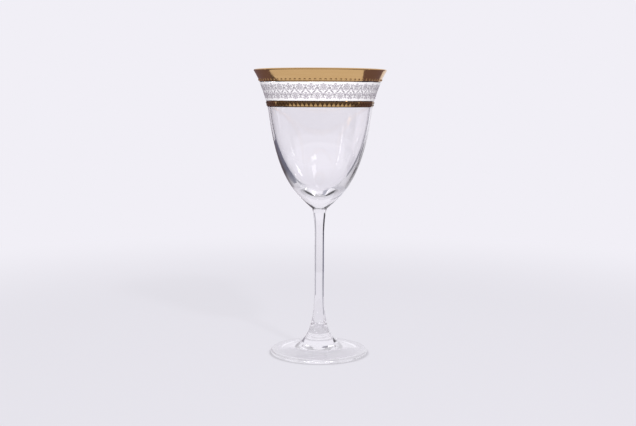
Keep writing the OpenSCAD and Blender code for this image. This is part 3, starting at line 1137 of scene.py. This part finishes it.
def leaf(base, angle, length, width):
    """Outline of a leaf that is pointed at both ends."""
    outline = []
    for i in range(PETAL_CORNERS):
        a = 2 * math.pi * i / PETAL_CORNERS
        across = math.copysign(abs(math.sin(a)) ** LEAF_POINT, math.sin(a)) * width / 2
        outline.append(base + length * (1 + math.cos(a)) / 2 * rise(angle) + across * rise(angle + 90))
    return outline


def disc(middle, radius):
    """Outline of a blossom's heart."""
    return [middle + radius * rise(360 * i / PETAL_CORNERS) for i in range(PETAL_CORNERS)]


print("petals and leaves have", PETAL_CORNERS, "corners each")

# %% [markdown]
# Blossoms and sprigs are pads over these outlines. The winding stem is a thin ribbon with a raised middle,
# dark along its sides as painted shade and less dark on its top.

# %% Blossoms, sprigs and the winding stem
PAD_H = 0.22
HEART_RISE = 1.5
RIBBON_W = 0.4
RIBBON_H = 0.16
# Painted shade: the ribbon's sides are marked darker than its raised top.
RIBBON_SIDE_SHADE = 0.9
RIBBON_TOP_SHADE = 0.3


def blossom(build, place, middle, radius, petals, petal_w, heart_r):
    """A ring of petals round a raised heart."""
    for k in range(petals):
        pad(build, place, petal(middle, 90 + 360 * k / petals, radius, petal_w), PAD_H)
    pad(build, place, disc(middle, heart_r), HEART_RISE * PAD_H)


def sprig(build, place, base, angle, leaves, leaf_w):
    """Leaves that fan out from one place, each given by its turn and its length."""
    for turned, length in leaves:
        pad(build, place, leaf(base, angle + turned, length, leaf_w), PAD_H)


def ribbon(build, place, path):
    """A thin raised line along a path."""
    rows = []
    for i, point in enumerate(path):
        ahead = path[min(i + 1, len(path) - 1)] - path[max(i - 1, 0)]
        side = Vector((-ahead.y, ahead.x)).normalized() * RIBBON_W / 2
        left = add_vertex(build, place(*(point + side), -BEDDED), RIBBON_SIDE_SHADE)
        right = add_vertex(build, place(*(point - side), -BEDDED), RIBBON_SIDE_SHADE)
        rows.append((left, add_vertex(build, place(*point, RIBBON_H), RIBBON_TOP_SHADE), right))
    for row, following in zip(rows, rows[1:]):
        for k in range(len(row)):
            m = (k + 1) % len(row)
            build.faces.new((row[k], following[k], following[m], row[m]))
    build.faces.new(rows[0])
    build.faces.new(rows[-1][::-1])


print(f"pads {PAD_H} mm high, ribbon {RIBBON_W} mm wide")

# %% [markdown]
# The garland is a design of this script: a stem winds up and down through the frieze, and a daisy or a rose
# sits in each of its bends, between two long leaves. Two short leaves fill the margin across the stem. One
# length of it, with four bends, repeats sixteen times.

# %% Garland of the frieze
GARLAND_REPEATS = 16
BENDS = 4
WAVE_H = 3.5
WAVE_STEPS = 48
BLOSSOM_Y = 3.3
BLOSSOM_R = 2.85
DAISY = (8, 0.62, 0.3)
ROSE = (5, 0.9, 0.34)
LONG_LEAVES = ((-29, 4.0), (29, 4.0))
MARGIN_LEAVES = ((-40, 2.0), (40, 2.0))
LEAF_W = 1.2
LONG_LEAF_UP = 0.4
MARGIN_LEAF_DOWN = 0.3

place, way_round = wall_map((frieze_z + frieze_top_z) / 2)
length = way_round / GARLAND_REPEATS
build = new_motif()


def wave(x):
    """The garland's stem: low under an upper blossom, high over a lower one."""
    return Vector((x, -WAVE_H * math.cos(BENDS * math.pi * (x / length - 1 / (2 * BENDS)))))


def bend(build, x, way, flower):
    """What sits in one bend of the stem. The way is 1 where the blossom is above and -1 where it is below.

    A flower has its number of petals, and the widths of a petal and of its heart as shares of its radius."""
    on_stem = Vector((x, -way * WAVE_H))
    petals, petal_share, heart_share = flower
    blossom(build, place, Vector((x, way * BLOSSOM_Y)), BLOSSOM_R, petals, petal_share * BLOSSOM_R,
        heart_share * BLOSSOM_R)
    sprig(build, place, on_stem + Vector((0, LONG_LEAF_UP * way)), 90 * way, LONG_LEAVES, LEAF_W)
    sprig(build, place, on_stem - Vector((0, MARGIN_LEAF_DOWN * way)), -90 * way, MARGIN_LEAVES, LEAF_W)


ribbon(build, place, [wave(length * i / WAVE_STEPS) for i in range(WAVE_STEPS + 1)])
for i, flower in enumerate((DAISY, ROSE, ROSE, DAISY)):
    bend(build, length * (2 * i + 1) / (2 * BENDS), 1 if i % 2 == 0 else -1, flower)
smooth(build)
garland = repeat_round("garland", build, GARLAND_REPEATS, satin)
settle(garland, "etched_glass")

# %% [markdown]
# Most lamps are there for one part only: four for the streaks in the clear bowl, one for the foot and one
# for the frieze. On the mirror of the gold they would leave white specks, so each is linked to the pieces
# that it may light. The key lights all but the frieze, which it would turn bright on one side and dark on
# the other.

# %% Link the lamps to their pieces
def link(light, pieces, state="INCLUDE"):
    """Lets a lamp light only these pieces, or with the state EXCLUDE all pieces but these."""
    receivers = bpy.data.collections.new(light.name + "_receivers")
    for piece in pieces:
        receivers.objects.link(piece)
    for entry in receivers.collection_objects:
        entry.light_linking.link_state = state
    light.light_linking.receiver_collection = receivers
    print(light.name, state.lower(), [piece.name for piece in pieces])


frieze = (etched_ground, garland)
link(key, frieze, "EXCLUDE")
link(frieze_light, frieze)
for light in (strip, side_light, back_light, high_light):
    link(light, [bowl_glass])
link(foot_light, [foot_glass])
